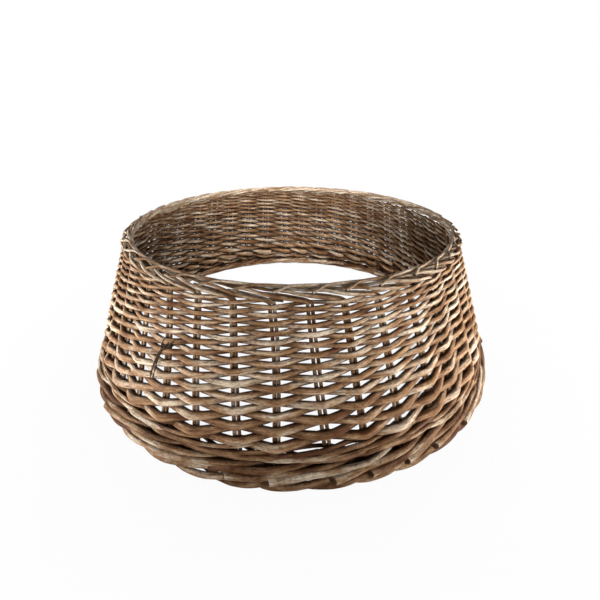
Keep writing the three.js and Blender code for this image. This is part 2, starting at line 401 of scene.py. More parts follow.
class CollarColours(bpy.types.PropertyGroup):
    """Colours of the willow and the twine."""

    pale: colour("Pale bark", "Weathered bark where it is lightest", 211, 193, 168)
    middle: colour("Brown bark", "Bark of most rods", 153, 118, 83)
    dark: colour("Dark bark", "Bark of the darkest rods and of streaks", 78, 43, 15)
    # This colour is also the painted shade deep in the weave and in the crevices between rods
    speck_and_shade: colour("Specks and shade", "Pores and dirt in the bark", 46, 20, 3)
    cut: colour("Cut wood", "Wood at a cut end", 92, 60, 36)
    pith: colour("Pith", "Middle of a cut end", 34, 17, 6)
    twine: colour("Twine", "Twine of the tie", 40, 27, 18)
    twine_pale: colour("Twine fibre", "Worn fibres of the twine", 92, 70, 50)


class Wall:
    """The leaning wall that everything is woven on."""

    def __init__(self, sizes):
        self.sizes = sizes
        self.sine = (sizes.foot_radius - sizes.rim_radius) / sizes.slope
        self.cosine = math.sqrt(1.0 - self.sine ** 2)
        last = len(ROWS) - 1
        self.closing = (sizes.top_pitch / sizes.bottom_pitch) ** (1.0 / (last - 1))

    def spot(self, place, along, out):
        """A point given by its place in stakes, how far up the wall, and how far out of its middle."""
        sizes = self.sizes
        azimuth = self.azimuth(place, along)
        radius = sizes.foot_radius - along * self.sine + out * self.cosine
        height = along * self.cosine + out * self.sine
        return Vector((radius * math.sin(azimuth), -radius * math.cos(azimuth), height))

    def spacing(self, along):
        """Distance between two stakes."""
        return (self.sizes.foot_radius - along * self.sine) * STEP

    def azimuth(self, place, along):
        """Where a place that is counted in stakes lies, on a nearly straight line from foot to rim."""
        sizes = self.sizes
        top = sizes.first_stake + place * STEP
        lean = sizes.lean + sizes.lean_swing * math.cos(top - sizes.lean_peak)
        climbed = min(along / sizes.slope, 1.0)
        aside = sizes.foot_radius * math.sin(lean) * (1.0 - climbed)
        ahead = sizes.foot_radius * math.cos(lean) * (1.0 - climbed) + sizes.rim_radius * climbed
        by_eye = noise_round(top, climbed, STAKE_NOISE)
        return top + math.atan2(aside, ahead) + sizes.unevenness / sizes.rim_radius * by_eye

    def upward(self, point):
        """The direction up the wall at a point."""
        out = Vector((point.x, point.y, 0.0)).normalized()
        return Vector((-out.x * self.sine, -out.y * self.sine, self.cosine))

    def climbed(self, turn, place):
        """How far up the wall a weaver has come after some rounds, which may not be whole."""
        sizes = self.sizes
        rounds = turn - self.dropped(place)
        rise = (1.0 - self.closing ** rounds) / (1.0 - self.closing)
        even = sizes.first_round + sizes.bottom_pitch * rise
        top = sizes.first_stake + place * STEP
        by_eye = noise_round(top, even, ROUND_NOISE)
        freedom = math.sin(math.pi * min(max(rounds / (len(ROWS) - 1), 0.0), 1.0)) ** 0.5
        return even + sizes.sway * by_eye * freedom

    def dropped(self, place):
        """How many rounds the weave has come down where its last rods were tucked under the first."""
        half = len(STAKES) / 2
        place = (place + half) % len(STAKES) - half
        for start, end, low, high in ((DROP_START, DROP_END, 0.0, 1.0), (DROP_END, half, 1.0, 0.0)):
            if start <= place < end:
                t = (place - start) / (end - start)
                return low + (high - low) * t * t * (3.0 - 2.0 * t)
        return 0.0

    def has_stroke(self, stake, turn):
        """Whether a stroke of some round fits between the wale and the rim at a stake."""
        rounds = turn - self.dropped(stake)
        return -STROKE_MARGIN < rounds < len(ROWS) - 1 + STROKE_MARGIN


def noise_round(azimuth, level, scales):
    """Noise that closes on itself round the axis, at some level."""
    ring, climb, start = scales
    spot = Vector((ring * math.cos(azimuth), ring * math.sin(azimuth), start + climb * level))
    return noise.noise(spot)


def noise_spot(run, seed, scales):
    """Where a rod's noise is read, at some length along it."""
    along, between, layer = scales
    return Vector((run * along, seed * between, layer))


def blended(course, place):
    """The values of a course at a place, on a smooth curve through its points."""
    last = len(course) - 2
    index = next((i for i in range(last) if place < course[i + 1][0]), last)
    before = course[max(index - 1, 0)]
    start = course[index]
    end = course[index + 1]
    after = course[min(index + 2, len(course) - 1)]
    run = end[0] - start[0]
    t = (place - start[0]) / run
    values = []
    for k in range(1, len(start)):
        leave = (end[k] - before[k]) / (end[0] - before[0]) * run
        arrive = (after[k] - start[k]) / (after[0] - start[0]) * run
        values.append(
            start[k] * (2 * t ** 3 - 3 * t ** 2 + 1)
            + leave * (t ** 3 - 2 * t ** 2 + t)
            + end[k] * (3 * t ** 2 - 2 * t ** 3)
            + arrive * (t ** 3 - t ** 2)
        )
    return values


def steps(start, end, per_unit):
    """Evenly spaced numbers from start to end."""
    number = max(2, round((end - start) * per_unit) + 1)
    return [start + (end - start) * i / (number - 1) for i in range(number)]


def kinked_steps(start, end):
    """Places along a weaver, counted in stakes, that are closer where it bends round a stake."""
    places = [whole + part for whole in range(-2, 2) for part in KINK_POINTS]
    return [start, *(place for place in places if start < place < end), end]


class Rod:
    """The middle line of one rod, its thickness along it and its shade, from 0 dark to 1 pale."""

    def __init__(self, tone, seed):
        self.tone = tone
        self.seed = seed
        self.points = []
        self.radii = []
        self.runs = []
        self.tones = []
        self.slant = None

    def add(self, point, radius, run=None, paler=0.0):
        """The next point, with the length of rod up to it where that isn't simply measured."""
        if run is None:
            run = self.runs[-1] + (point - self.points[-1]).length if self.points else self.tone
        self.points.append(point)
        self.radii.append(radius)
        self.runs.append(run)
        self.tones.append(self.tone + paler)

    def grow(self, bend, swell):
        """Makes the rod as it grew: slightly bent, uneven, and thicker where leaves stood."""
        # Without a seed, the bends would differ from run to run
        noise.seed_set(BEND_SEED)
        for i, run in enumerate(self.runs):
            stray = LEAF_STRAY * math.sin(self.seed + run * LEAF_STRAYS_PER_METRE)
            leaf = (run / LEAF_SPACING + stray) % 1.0 - 0.5
            scar = math.exp(-(leaf * LEAF_SPACING / LEAF_SCAR) ** 2)
            lump = noise.noise(noise_spot(run, self.seed, LUMP_NOISE))
            turned = noise.noise_vector(noise_spot(run, self.seed, BEND_NOISE))
            self.points[i] = self.points[i] + bend * turned
            self.radii[i] *= 1.0 + swell * (lump + scar)
        return self


def woven(rods, sides):
    """One mesh of round rods along their lines, closed at both ends, each with its own grain."""
    bpy.ops.object.select_all(action="DESELECT")
    bpy.ops.curve.primitive_nurbs_path_add()
    path = bpy.context.object.data
    path.splines.clear()
    for rod in rods:
        line = path.splines.new("POLY")
        line.points.add(len(rod.points) - 1)
        line.points.foreach_set("co", [v for point in rod.points for v in (*point, 1.0)])
        line.points.foreach_set("radius", rod.radii)
    path.bevel_depth = 1.0
    path.bevel_resolution = sides // 2 - 2
    path.use_fill_caps = True
    bpy.ops.object.convert(target="MESH")
    piece = bpy.context.object
    owners = vertex_owners(rods, sides)
    cut_slanting(piece.data, owners)
    lay_grain(piece.data, owners, sides)
    return piece


def vertex_owners(rods, sides):
    """The rod, the place along it and the place round it of every vertex of a woven mesh.

    The mesh lists the end faces first, from the last rod to the first, and then every ring."""
    owners = []
    for rod in reversed(rods):
        owners += [(rod, i, j) for i in (len(rod.points) - 1, 0) for j in range(sides)]
    for rod in rods:
        owners += [(rod, i, j) for i in range(len(rod.points)) for j in range(sides)]
    return owners


def cut_slanting(mesh, owners):
    """Slants the first end of the rods that were cut so, to face the way that they say."""
    for vertex, (rod, i, _) in zip(mesh.vertices, owners):
        if rod.slant is None:
            continue
        left = 1.0 - (rod.runs[i] - rod.runs[0]) / SLANT_LENGTH
        if left > 0.0:
            inward = (rod.points[1] - rod.points[0]).normalized()
            proud = (vertex.co - rod.points[i]).dot(rod.slant)
            vertex.co = vertex.co + inward * proud * left


def lay_grain(mesh, owners, sides):
    """Stores where each vertex would be on the straight rod, how pale the rod is, and its crevices.

    A crevice is where a rod is turned to its neighbours above and below, and the bark gets painted shade
    there."""
    wall = Wall(bpy.context.scene.collar_sizes)
    spots = []
    turned = []
    for vertex, (rod, i, j) in zip(mesh.vertices, owners):
        turn = math.tau * j / sides + rod.seed
        spots += (rod.radii[i] * math.cos(turn), rod.radii[i] * math.sin(turn), rod.runs[i])
        turned.append(abs((vertex.co - rod.points[i]).dot(wall.upward(rod.points[i]))) / rod.radii[i])
    grain = mesh.attributes.new("grain", "FLOAT_VECTOR", "POINT")
    grain.data.foreach_set("vector", spots)
    paleness = mesh.attributes.new("tone", "FLOAT", "POINT")
    paleness.data.foreach_set("value", [rod.tones[i] for rod, i, _ in owners])
    # Painted shade on each rod's upper and lower side, where it is turned to its neighbours
    crevice = mesh.attributes.new("crevice", "FLOAT", "POINT")
    crevice.data.foreach_set("value", turned)


def finish_piece(piece, name, bark, cut, node):
    """Paints the bark and the cut ends, and lets the piece stand for its node."""
    piece.name = name
    piece.data.name = name
    piece.data.materials.append(bark)
    piece.data.materials.append(cut)
    bpy.ops.object.mode_set(mode="EDIT")
    bpy.ops.mesh.select_mode(type="FACE")
    bpy.ops.mesh.select_all(action="DESELECT")
    bpy.ops.mesh.select_face_by_sides(number=3, type="EQUAL")
    piece.active_material_index = 1
    bpy.ops.object.material_slot_assign()
    bpy.ops.mesh.select_all(action="SELECT")
    bpy.ops.mesh.remove_doubles(threshold=SAME_SPOT)
    bpy.ops.object.mode_set(mode="OBJECT")
    bpy.ops.object.shade_smooth_by_angle(angle=SMOOTH_ANGLE)
    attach(piece, BODY)
    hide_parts(node)


def stake_rods(wall, stake):
    """A stake and its bye-stake at the right, from the foot to their tips in the rim."""
    sizes = wall.sizes
    source = random.Random(STAKE_SEED + stake)
    main = Rod(source.uniform(*STAKE_TONES), STAKE_SEED + stake)
    bye = Rod(source.uniform(*STAKE_TONES), RIM_SEED + stake)
    for along in steps(sizes.stake_foot, sizes.slope - STAKE_END_RODS * sizes.rim_rod, POINTS_PER_METRE):
        climbed = along / sizes.slope
        step = wall.spacing(along)
        thick = sizes.stake + (sizes.rim_rod - sizes.stake) * climbed
        thin = sizes.bye_stake + (sizes.rim_rod - sizes.bye_stake) * climbed
        aside = ((thick + thin) / 2 + sizes.stake_slit) / 2 / step
        main.add(wall.spot(stake - aside, along, 0.0), thick / 2)
        bye.add(wall.spot(stake + aside, along, 0.0), thin / 2)
    for rod, course, side in ((main, RIM_COURSE, -aside), (bye, BYE_COURSE, aside)):
        end = course[-1][0] + source.uniform(*RIM_TIP_STRAY)
        for passed in steps(course[0][0], end, POINTS_PER_STAKE):
            out, up = blended(course, passed)
            place = stake - passed + side * (1.0 - passed / end)
            thick = sizes.rim_rod * (1.0 - sizes.rim_taper * passed / RIM_COURSE[-1][0])
            spot = wall.spot(place, sizes.slope + up * sizes.rim_rod, out * sizes.rim_rod)
            rod.add(spot, thick / 2, paler=RIM_PALER * min(passed, 1.0))
    return [main.grow(bend=0.0004, swell=0.05), bye.grow(bend=0.0005, swell=0.05)]


def swing(turn):
    """How far a rod swings out, as a wave with nearly straight flanks."""
    return math.asin(KINK_SHARPNESS * math.cos(turn)) / math.asin(KINK_SHARPNESS)


def weaver_strokes(wall, turn):
    """One round of the wall: each rod passes one stake in front, and climbs a round by the next one.

    A rod starts at every stake, so the strokes of a round belong to as many rods, and each stroke
    meets the same rod's next one behind a stake."""
    sizes = wall.sizes
    strokes = []
    for stake in range(len(STAKES)):
        if not wall.has_stroke(stake, turn):
            continue
        weaver = (stake - 2 * turn) % len(STAKES)
        source = random.Random(ROW_SEED + weaver)
        rod = Rod(source.uniform(*WEAVER_TONES), ROW_SEED + weaver)
        fullness = source.uniform(*WEAVER_FULLNESS)
        begin = -1.0 if wall.has_stroke(stake - 2, turn - 1) else -1.0 - sizes.overhang
        end = 1.0 if wall.has_stroke(stake + 2, turn + 1) else 1.0 + sizes.overhang
        for passed in kinked_steps(begin, end):
            climbed = turn + passed / 2
            share_done = (climbed - wall.dropped(stake + passed)) / (len(ROWS) - 1)
            taper = (sizes.top_weaver / sizes.bottom_weaver) ** share_done
            thick = sizes.bottom_weaver * taper * fullness
            along = wall.climbed(climbed, stake + passed)
            upright = sizes.stake + (sizes.rim_rod - sizes.stake) * along / sizes.slope
            reach = (upright + thick) / 2 * sizes.kink
            bent = swing(math.pi * passed)
            point = wall.spot(stake + passed, along - sizes.dip * reach * bent, reach * bent)
            rod.add(point, thick / 2, (2 * turn + passed) * sizes.rim_radius * STEP + rod.tone)
        strokes.append(rod.grow(bend=0.0005, swell=0.035))
    return strokes


def wall_round(wall, turn):
    """The strokes of one round. The highest round takes in those that climb past it."""
    strokes = weaver_strokes(wall, turn)
    if turn == len(ROWS) - 1:
        strokes += weaver_strokes(wall, turn + 1)
    return strokes


def wale_rods(wall, turn):
    """One of the three rods of the wale, in two lengths."""
    sizes = wall.sizes
    source = random.Random(WALE_SEED + turn)
    cycle = WALE_COURSE + tuple((p + len(WALES), o, u) for p, o, u in WALE_COURSE)
    start = len(STAKES) / 2 + WALE_START
    seam = start + len(STAKES) * source.uniform(*WALE_SEAM)
    finish = start + len(STAKES) + WALE_END_OVERLAP
    rods = []
    for begin, end in ((start, seam + WALE_SEAM_OVERLAP), (seam, finish)):
        rod = Rod(source.uniform(*WALE_TONES), source.randrange(WALE_SEEDS))
        for place in steps(begin, end, POINTS_PER_STAKE):
            passed = (place - turn - 0.5) % len(WALES) + 0.5
            out, up = blended(cycle, passed)
            slack = WALE_SLACK * noise.noise(noise_spot(place, rod.seed, WALE_NOISE))
            taper = WALE_BUTT - WALE_TAPER * (place - begin) / (end - begin)
            height = sizes.wale + (up + slack) * sizes.wale_rod
            spot = wall.spot(place, height, WALE_SWING * out * sizes.wale_rod)
            rod.add(spot, sizes.wale_rod / 2 * taper)
        rods.append(rod.grow(bend=0.0007, swell=0.05))
    return rods


def foot_rods(wall, turn):
    """Every third rod of the foot, and of the scallops below it."""
    rods = []
    for stake in range(turn, len(STAKES), len(FEET)):
        source = random.Random(FOOT_SEED + stake)
        rods.append(butted_rod(wall, stake, source))
        rods.append(scallop_rod(wall, stake, source))
    return rods


def butted_rod(wall, stake, source):
    """A rod of the foot from its cut butt, which may be hidden by its neighbour, to its tip inside."""
    sizes = wall.sizes
    begin, last = FOOT_COURSE[0][0], FOOT_COURSE[-1][0]
    shift = source.uniform(*BUTT_STRAY)
    fullness = source.uniform(*FOOT_FULLNESS)
    rod = Rod(source.uniform(*FOOT_TONES), FOOT_SEED + stake)
    start = source.choice((begin, begin, begin, begin + BUTT_HIDDEN))
    for passed in steps(start, last + source.uniform(*FOOT_TIP_STRAY), POINTS_PER_STAKE):
        out, up = blended(FOOT_COURSE, passed)
        tucked = (start - begin) * math.exp(-BUTT_HIDDEN_FADE * (passed - start))
        freedom = min(1.0, FOOT_SLACK_AT_BUTT + passed)
        slack = FOOT_SLACK * noise.noise(noise_spot(passed, rod.seed, FOOT_SLACK_NOISE)) * freedom
        proud = FOOT_PROUD * noise.noise(noise_spot(passed, rod.seed, FOOT_PROUD_NOISE))
        thick = sizes.foot_rod * (1.0 - sizes.foot_taper * passed / last)
        thick += (sizes.foot_butt - sizes.foot_rod) * math.exp(-BUTT_SWELL_FADE * (passed - begin))
        place = stake + passed + shift * max(0.0, 1.0 - passed / BUTT_STRAY_END)
        height = (up + slack) * sizes.foot_rod
        spot = wall.spot(place, height, (out - tucked + proud) * sizes.foot_rod)
        worn = BUTT_PALER * math.exp(-BUTT_PALER_FADE * (passed - begin))
        rod.add(spot, thick * fullness / 2, paler=worn)
    outwards = wall.spot(stake, 0.0, 1.0) - wall.spot(stake, 0.0, 0.0)
    rod.slant = outwards.normalized() * source.uniform(*BUTT_SLANT)
    return rod.grow(bend=0.0008, swell=0.05)


def scallop_rod(wall, stake, source):
    """A thinner rod that comes out below the foot's rods and goes in again behind their butts."""
    sizes = wall.sizes
    rod = Rod(source.uniform(*SCALLOP_TONES), FOOT_SEED + stake + len(STAKES))
    for passed in steps(SCALLOP_COURSE[0][0], SCALLOP_COURSE[-1][0], SCALLOP_POINTS):
        out, up = blended(SCALLOP_COURSE, passed)
        place = stake + passed - SCALLOP_LEAD
        spot = wall.spot(place, up * sizes.foot_rod, out * sizes.foot_rod)
        rod.add(spot, sizes.scallop_rod / 2)
    return rod.grow(bend=0.0004, swell=0.04)


def twine_threads(wall):
    """The twine's turns round its stake, its knot in front and its loose ends."""
    sizes = wall.sizes
    low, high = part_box(TWINE)
    middle = (low + high) / 2
    azimuth = math.atan2(middle.x, -middle.y)
    out = Vector((math.sin(azimuth), -math.cos(azimuth), 0.0))
    right = Vector((math.cos(azimuth), math.sin(azimuth), 0.0))
    up = Vector((0.0, 0.0, 1.0))
    loop = Rod(TWINE_TONE, TWINE_SEED)
    for turn in steps(0.0, math.tau * LOOP_TURNS, LOOP_POINTS):
        ring = right * math.sin(turn) * LOOP_HALF_WIDTH + out * math.cos(turn) * LOOP_HALF_DEPTH
        loop.add(middle + ring + up * LOOP_RISE * (turn / math.tau - LOOP_TURNS / 2), sizes.twine / 2)
    knot = Rod(TWINE_TONE, TWINE_SEED + 1)
    for turn in steps(0.0, math.tau, KNOT_POINTS):
        ring = right * math.sin(turn) * KNOT_HALF_WIDTH + up * math.cos(turn) * KNOT_HALF_HEIGHT
        knot.add(middle + out * KNOT_OUT + ring, sizes.twine * KNOT_FULLNESS)
    threads = [loop, knot]
    for aside, rise, fall in TWINE_ENDS:
        end = Rod(TWINE_TONE, TWINE_SEED + len(threads))
        for t in steps(0.0, 1.0, END_POINTS):
            height = rise * t ** END_CURVE
            bow = KNOT_OUT + fall * math.sin(math.pi * t / 2) - height * wall.sine
            spot = middle + out * bow + right * aside * t + up * height
            end.add(spot, sizes.twine * (KNOT_FULLNESS - END_TAPER * t))
        threads.append(end.grow(bend=0.0012, swell=0.0))
    return threads


def add_node(tree, kind, settings=None, **sockets):
    """A shader node with its settings and the values of its sockets."""
    made = tree.nodes.new(kind)
    for name, value in (settings or {}).items():
        setattr(made, name, value)
    for name, value in sockets.items():
        made.inputs[name.replace("_", " ")].default_value = value
    return made


def stored(tree, name, output="Fac"):
    """A value that is stored on the mesh."""
    return add_node(tree, "ShaderNodeAttribute", {"attribute_name": name}).outputs[output]


def plain(tree, shown):
    """One of the collar's colours, for a blend."""
    made = add_node(tree, "ShaderNodeRGB")
    made.outputs["Color"].default_value = (*shown, 1.0)
    return made.outputs["Color"]


def from_axis(tree, place):
    """How far a place lies from the axis, whatever its height."""
    flat = add_node(tree, "ShaderNodeVectorMath", {"operation": "MULTIPLY"})
    flat.inputs[1].default_value = (1.0, 1.0, 0.0)
    tree.links.new(place, flat.inputs[0])
    radius = add_node(tree, "ShaderNodeVectorMath", {"operation": "LENGTH"})
    tree.links.new(flat.outputs["Vector"], radius.inputs[0])
    return radius.outputs["Value"]


def stretched_noise(tree, grain, across, along, detail):
    """Noise on the straight rod, drawn out along it."""
    scaled = add_node(tree, "ShaderNodeVectorMath", {"operation": "MULTIPLY"})
    scaled.inputs[1].default_value = (across, across, along)
    tree.links.new(grain, scaled.inputs[0])
    made = add_node(tree, "ShaderNodeTexNoise", Scale=1.0, Detail=detail, Roughness=NOISE_ROUGHNESS)
    tree.links.new(scaled.outputs["Vector"], made.inputs["Vector"])
    return made.outputs["Fac"]


def ranged(tree, value, low, high, new_low=0.0, new_high=1.0):
    """Spreads the values between low and high over a new range."""
    made = add_node(tree, "ShaderNodeMapRange")
    made.inputs["From Min"].default_value = low
    made.inputs["From Max"].default_value = high
    made.inputs["To Min"].default_value = new_low
    made.inputs["To Max"].default_value = new_high
    tree.links.new(value, made.inputs["Value"])
    return made.outputs["Result"]


def combined(tree, operation, first, second):
    """Arithmetic on two values, either of which may be a plain number."""
    made = add_node(tree, "ShaderNodeMath", {"operation": operation})
    for socket, value in zip(made.inputs, (first, second)):
        if isinstance(value, (int, float)):
            socket.default_value = value
        else:
            tree.links.new(value, socket)
    return made.outputs["Value"]


def mixed(tree, factor, first, second):
    """A blend of two colours."""
    made = add_node(tree, "ShaderNodeMix", {"data_type": "RGBA"})
    tree.links.new(factor, made.inputs["Factor"])
    tree.links.new(first, made.inputs["A"])
    tree.links.new(second, made.inputs["B"])
    return made.outputs["Result"]


def shade_depth_group():
    """How deep a point lies in the weave, as a mask of painted shade: 1 at the wall's middle, 0 on its
    outer and inner face.
    """
    sizes = bpy.context.scene.collar_sizes
    wall = Wall(sizes)
    tree = bpy.data.node_groups.new("Painted shade depth in the weave", "ShaderNodeTree")
    tree.interface.new_socket(name="Depth", in_out="OUTPUT", socket_type="NodeSocketFloat")
    result = tree.nodes.new("NodeGroupOutput")
    place = add_node(tree, "ShaderNodeTexCoord").outputs["Object"]
    apart = add_node(tree, "ShaderNodeSeparateXYZ")
    tree.links.new(place, apart.inputs["Vector"])
    height = apart.outputs["Z"]
    aside = combined(tree, "SUBTRACT", from_axis(tree, place), sizes.foot_radius)
    aside = combined(tree, "MULTIPLY", aside, wall.cosine)
    out = combined(tree, "ADD", aside, combined(tree, "MULTIPLY", height, wall.sine))
    off_middle = combined(tree, "ABSOLUTE", out, 0.0)
    rim_height = sizes.slope * wall.cosine
    half = ranged(tree, height, 0.0, rim_height, WEAVE_HALF_FOOT, WEAVE_HALF_RIM)
    depth = ranged(tree, combined(tree, "DIVIDE", off_middle, half), 0.0, SHADED_SHARE, 1.0, 0.0)
    shade_end = rim_height + RIM_SHADE_ABOVE
    # The painted shade weakens towards the top of the rim
    under_rim = ranged(tree, height, rim_height - RIM_SHADE_BELOW, shade_end, 1.0, RIM_SHADE)
    tree.links.new(combined(tree, "MULTIPLY", depth, under_rim), result.inputs["Depth"])
    return tree


def bark_group():
    """Bark of a dry willow rod: patches, streaks along it, mottle, fine fibres, pores, dirt and painted
    shade.
    """
    tree = bpy.data.node_groups.new("Willow bark", "ShaderNodeTree")
    for name in ("Pale", "Middle", "Dark", "Speck and shade"):
        tree.interface.new_socket(name=name, in_out="INPUT", socket_type="NodeSocketColor")
    for name in ("Depth", "Dirt and shade"):
        tree.interface.new_socket(name=name, in_out="INPUT", socket_type="NodeSocketFloat")
    tree.interface.new_socket(name="Color", in_out="OUTPUT", socket_type="NodeSocketColor")
    for name in ("Roughness", "Height"):
        tree.interface.new_socket(name=name, in_out="OUTPUT", socket_type="NodeSocketFloat")
    given = tree.nodes.new("NodeGroupInput")
    result = tree.nodes.new("NodeGroupOutput")
    grain = stored(tree, "grain", "Vector")

    patches = stretched_noise(tree, grain, *PATCHES)
    streaks = ranged(tree, stretched_noise(tree, grain, *STREAKS), *STREAK_RANGE)
    fibres = stretched_noise(tree, grain, *FIBRES)
    pores = ranged(tree, stretched_noise(tree, grain, *PORES), *PORE_RANGE)
    mottle = ranged(tree, stretched_noise(tree, grain, *MOTTLE), *MOTTLE_RANGE)

    shade = combined(tree, "ADD", stored(tree, "tone"), ranged(tree, patches, *PATCH_TONES))
    low = ranged(tree, shade, 0.0, 0.5)
    high = ranged(tree, shade, 0.5, 1.0)
    bark = mixed(tree, low, given.outputs["Dark"], given.outputs["Middle"])
    bark = mixed(tree, high, bark, given.outputs["Pale"])
    for marks, ink in ((streaks, "Dark"), (mottle, "Dark"), (pores, "Speck and shade")):
        bark = mixed(tree, combined(tree, "MULTIPLY", marks, MARK_SHARE), bark, given.outputs[ink])
    # Dirt in the streaks and mottle, and painted shade deep in the weave and in the crevices, darken the
    # bark towards the specks' colour
    dirt_and_shade = combined(tree, "ADD", given.outputs["Depth"], ranged(tree, streaks, *STREAK_GRIME))
    dirt_and_shade = combined(tree, "ADD", dirt_and_shade, ranged(tree, stored(tree, "crevice"), *CREVICE_SHADE))
    dirt_and_shade = combined(tree, "ADD", dirt_and_shade, ranged(tree, mottle, *MOTTLE_GRIME))
    dirt_and_shade = combined(tree, "MULTIPLY", ranged(tree, dirt_and_shade, *DIRT_AND_SHADE_RANGE), given.outputs["Dirt and shade"])
    bark = mixed(tree, dirt_and_shade, bark, given.outputs["Speck and shade"])
    tree.links.new(bark, result.inputs["Color"])
    tree.links.new(ranged(tree, streaks, *BARK_ROUGHNESS), result.inputs["Roughness"])
    rise = combined(tree, "ADD", combined(tree, "MULTIPLY", fibres, FIBRE_RELIEF), streaks)
    rise = combined(tree, "SUBTRACT", rise, combined(tree, "MULTIPLY", pores, PORE_RELIEF))
    tree.links.new(rise, result.inputs["Height"])
    return tree


def finished(name, surface, roughness, height, relief):
    """A material whose shader takes its colour, roughness and relief from the nodes given."""
    material = bpy.data.materials[name]
    tree = material.node_tree
    shader = tree.nodes["Principled BSDF"]
    shader.inputs["Specular IOR Level"].default_value = SPECULAR_LEVEL
    bump = add_node(tree, "ShaderNodeBump", Strength=RELIEF_STRENGTH, Distance=relief)
    tree.links.new(height, bump.inputs["Height"])
    tree.links.new(surface, shader.inputs["Base Color"])
    tree.links.new(roughness, shader.inputs["Roughness"])
    tree.links.new(bump.outputs["Normal"], shader.inputs["Normal"])
    return material


def blank_material(name):
    """A new material with the plain shader."""
    material = bpy.data.materials.new(name)
    material.use_nodes = True
    return material


def bark_material(name, darker, dirt_and_shade):
    """Bark for one kind of rod, darkened by a share, with dirt in its marks and painted shade deep in the
    weave.
    """
    if name in bpy.data.materials:
        return bpy.data.materials[name]
    colours = bpy.context.scene.collar_colours
    tree = blank_material(name).node_tree
    group = bpy.data.node_groups.get("Willow bark") or bark_group()
    bark = add_node(tree, "ShaderNodeGroup", {"node_tree": group})
    for socket, shown in (("Pale", colours.pale), ("Middle", colours.middle), ("Dark", colours.dark)):
        bark.inputs[socket].default_value = (*(v * (1.0 - darker) for v in shown), 1.0)
    bark.inputs["Speck and shade"].default_value = (*colours.speck_and_shade, 1.0)
    depth_group = bpy.data.node_groups.get("Painted shade depth in the weave") or shade_depth_group()
    depth = add_node(tree, "ShaderNodeGroup", {"node_tree": depth_group})
    tree.links.new(depth.outputs["Depth"], bark.inputs["Depth"])
    bark.inputs["Dirt and shade"].default_value = dirt_and_shade
    surface, roughness, height = (bark.outputs[socket] for socket in ("Color", "Roughness", "Height"))
    return finished(name, surface, roughness, height, WOOD_RELIEF)


def cut_material():
    """The wood of a cut end, darker towards its pith and unevenly worn."""
    name = "Cut willow"
    if name in bpy.data.materials:
        return bpy.data.materials[name]
    colours = bpy.context.scene.collar_colours
    tree = blank_material(name).node_tree
    grain = stored(tree, "grain", "Vector")
    wear = stretched_noise(tree, grain, *CUT_WEAR)
    outward = ranged(tree, from_axis(tree, grain), PITH_RADIUS, CUT_RADIUS)
    factor = combined(tree, "MULTIPLY", outward, ranged(tree, wear, *CUT_SHADES))
    surface = mixed(tree, factor, plain(tree, colours.pith), plain(tree, colours.cut))
    return finished(name, surface, ranged(tree, wear, *CUT_ROUGHNESS), wear, WOOD_RELIEF)


def twine_material():
    """Dull twine with paler worn fibres along it."""
    name = "Dark twine"
    if name in bpy.data.materials:
        return bpy.data.materials[name]
    colours = bpy.context.scene.collar_colours
    tree = blank_material(name).node_tree
    fibres = stretched_noise(tree, stored(tree, "grain", "Vector"), *TWINE_FIBRES)
    worn = ranged(tree, fibres, *TWINE_WORN)
    surface = mixed(tree, worn, plain(tree, colours.twine), plain(tree, colours.twine_pale))
    return finished(name, surface, ranged(tree, fibres, *TWINE_ROUGHNESS), fibres, TWINE_RELIEF)


def weave_pieces(nodes, rods_of, bark, thick=False):
    """One piece for each node, woven from the rods that a function gives for the node's number."""
    sizes = bpy.context.scene.collar_sizes
    sides = sizes.thick_sides if thick else sizes.thin_sides
    wall = Wall(sizes)
    for number, node in enumerate(nodes):
        piece = woven(rods_of(wall, number), sides)
        finish_piece(piece, f"willow_{node}", bark, cut_material(), node)


class COLLAR_OT_stakes(bpy.types.Operator):
    """Set up the stakes and bend their ends into the rim"""

    bl_idname = "collar.stakes"
    bl_label = "Stakes and rim"

    def execute(self, context):
        # The stakes' bark is darkened by a share as painted shade
        bark = bark_material("Stake bark", darker=0.24, dirt_and_shade=0.5)
        weave_pieces(STAKES, stake_rods, bark)
        return {"FINISHED"}


class COLLAR_OT_rounds(bpy.types.Operator):
    """Weave the wall, round by round"""

    bl_idname = "collar.rounds"
    bl_label = "Rounds of the wall"

    def execute(self, context):
        bark = bark_material("Weaver bark", darker=0.0, dirt_and_shade=0.88)
        weave_pieces(ROWS, wall_round, bark)
        return {"FINISHED"}


class COLLAR_OT_wale(bpy.types.Operator):
    """Weave the three thin rods of the wale above the foot"""

    bl_idname = "collar.wale"
    bl_label = "Wale"

    def execute(self, context):
        bark = bark_material("Wale bark", darker=0.18, dirt_and_shade=0.8)
        weave_pieces(WALES, wale_rods, bark)
        return {"FINISHED"}


class COLLAR_OT_foot(bpy.types.Operator):
    """Weave the thick rods of the foot, with their cut butts outside"""

    bl_idname = "collar.foot"
    bl_label = "Foot"

    def execute(self, context):
        # The foot's bark is darkened by a share as painted shade
        bark = bark_material("Foot bark", darker=0.2, dirt_and_shade=0.82)
        weave_pieces(FEET, foot_rods, bark, thick=True)
        return {"FINISHED"}


class COLLAR_OT_twine(bpy.types.Operator):
    """Tie the twine round its stake"""

    bl_idname = "collar.twine"
    bl_label = "Twine"

    def execute(self, context):
        sizes = context.scene.collar_sizes
        piece = woven(twine_threads(Wall(sizes)), sizes.thin_sides)
        twine = twine_material()
        finish_piece(piece, "dark_twine_tie", twine, twine, TWINE)
        return {"FINISHED"}


class COLLAR_OT_stage(bpy.types.Operator):
    """Set the floor, the lights and the camera"""

    bl_idname = "collar.stage"
    bl_label = "Stage"

    def execute(self, context):
        scene = context.scene
        scene.view_settings.view_transform = "Standard"
        lay_floor()
        light_world(scene)
        for lamp in LAMPS:
            soft_box(*lamp)
        aim_camera(scene)
        return {"FINISHED"}


